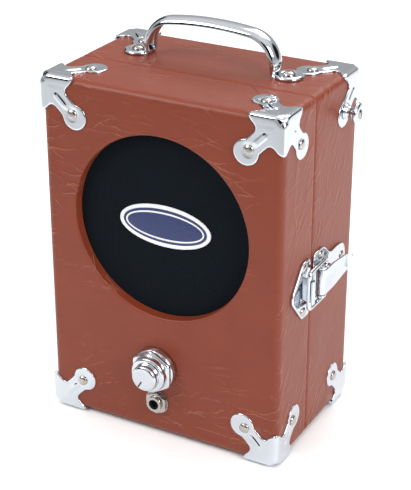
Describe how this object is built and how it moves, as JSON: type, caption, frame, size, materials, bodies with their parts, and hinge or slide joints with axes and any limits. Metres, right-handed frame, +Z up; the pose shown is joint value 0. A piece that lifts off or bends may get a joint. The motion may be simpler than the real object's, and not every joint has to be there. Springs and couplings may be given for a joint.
{
  "type": "portable practice amplifier",
  "caption": "Small battery guitar practice amplifier: loudspeaker, knob and input socket in the front half of a latched, hinged, leatherette-covered case with a chrome handle.",
  "frame": {"origin": "bottom centre of the amplifier's bounding box, on the surface it stands on", "axes": "+Z up, -Y the front with the loudspeaker and knob, +X the right side with the latch"},
  "size_m": [0.1702, 0.1152, 0.2388],
  "materials": {
    "vinyl": "embossed satin vinyl",
    "plywood": "raw",
    "chrome": "polished",
    "nickel": "polished",
    "steel": "plain",
    "cloth": "woven",
    "enamel": "gloss",
    "basket_paint": "satin",
    "ferrite": "matte",
    "paper_cone": "matte",
    "gasket_card": "matte",
    "foam_roll": "matte",
    "spider_cloth": "impregnated",
    "copper": "enamelled",
    "sheet_aluminium": "plain",
    "board_green": "satin",
    "core_iron": "varnished",
    "can_sleeve": "gloss",
    "black_plastic": "matte",
    "cell_jacket": "gloss",
    "wire_sleeve": "satin"
  },
  "bodies": {
    "rear_half": {"rear_top_board": "plywood", "rear_bottom_board": "plywood", "rear_left_board": "plywood", "rear_right_board": "plywood", "rear_covering": "vinyl", "rear_corner_top_left": "chrome", "rear_corner_top_right": "chrome", "rear_corner_bottom_left": "chrome", "rear_corner_bottom_right": "chrome", "rear_nails": "nickel", "rear_base_nails": "nickel", "rear_hinge_leaves": "chrome", "back_panel": "plywood", "handle": "chrome", "handle_screws": "nickel", "strap_buttons": "chrome", "hinge_pins": "steel", "latch_base": "chrome", "latch_pin": "steel"},
    "latch_lever": {"latch_lever": "chrome"},
    "latch_bail": {"latch_bail": "chrome"},
    "volume_knob": {"knob": "chrome", "pot_shaft": "sheet_aluminium"},
    "cone": {"speaker_cone": "paper_cone", "speaker_dust_cap": "paper_cone", "speaker_voice_coil": "copper"},
    "front_half": {"front_top_board": "plywood", "front_bottom_board": "plywood", "front_left_board": "plywood", "front_right_board": "plywood", "front_covering": "vinyl", "front_corner_top_left": "chrome", "front_corner_top_right": "chrome", "front_corner_bottom_left": "chrome", "front_corner_bottom_right": "chrome", "front_nails": "nickel", "front_base_nails": "nickel", "front_hinge_leaves": "chrome", "baffle": "plywood", "latch_keeper": "chrome", "grille_cloth": "cloth", "badge": "enamel", "speaker_basket": "basket_paint", "speaker_screws": "steel", "speaker_gasket": "gasket_card", "speaker_surround": "foam_roll", "speaker_spider": "spider_cloth", "speaker_top_plate": "steel", "speaker_magnet": "ferrite", "speaker_yoke": "steel", "volume_pot": "steel", "input_jack": "nickel", "jack_nut": "nickel", "chassis": "sheet_aluminium", "circuit_board": "board_green", "transformers": "core_iron", "capacitors": "can_sleeve", "battery_box": "black_plastic", "battery_cells": "cell_jacket", "hookup_wires": "wire_sleeve"}
  },
  "joints": [
    {"name": "case_hinge", "type": "hinge", "parent": "rear_half", "child": "front_half", "pos_m": [-0.0773, -0.00259, 0.10717], "axis": [0, 0, -1], "range_deg": [0, 160]},
    {"name": "latch_lever", "type": "hinge", "parent": "rear_half", "child": "latch_lever", "pos_m": [0.07915, 0.00242, 0.10217], "axis": [0, 0, -1], "range_deg": [0, 120]},
    {"name": "latch_bail", "type": "hinge", "parent": "latch_lever", "child": "latch_bail", "pos_m": [0.07875, 0.00891, 0.10217], "axis": [0, 0, -1], "range_deg": [-132, 0]},
    {"name": "volume_knob", "type": "hinge", "parent": "front_half", "child": "volume_knob", "pos_m": [-0.003, -0.04958, 0.04567], "axis": [0, 1, 0], "range_deg": [0, 300]},
    {"name": "cone_travel", "type": "slide", "parent": "front_half", "child": "cone", "axis": [0, 1, 0], "range_m": [-0.002, 0.002], "stiffness_N_per_m": 1500, "deforming": ["speaker_surround", "speaker_spider"]}
  ],
  "couplings": [
    {"joint": "latch_bail", "follows": "latch_lever", "ratio": -1.1}
  ]
}
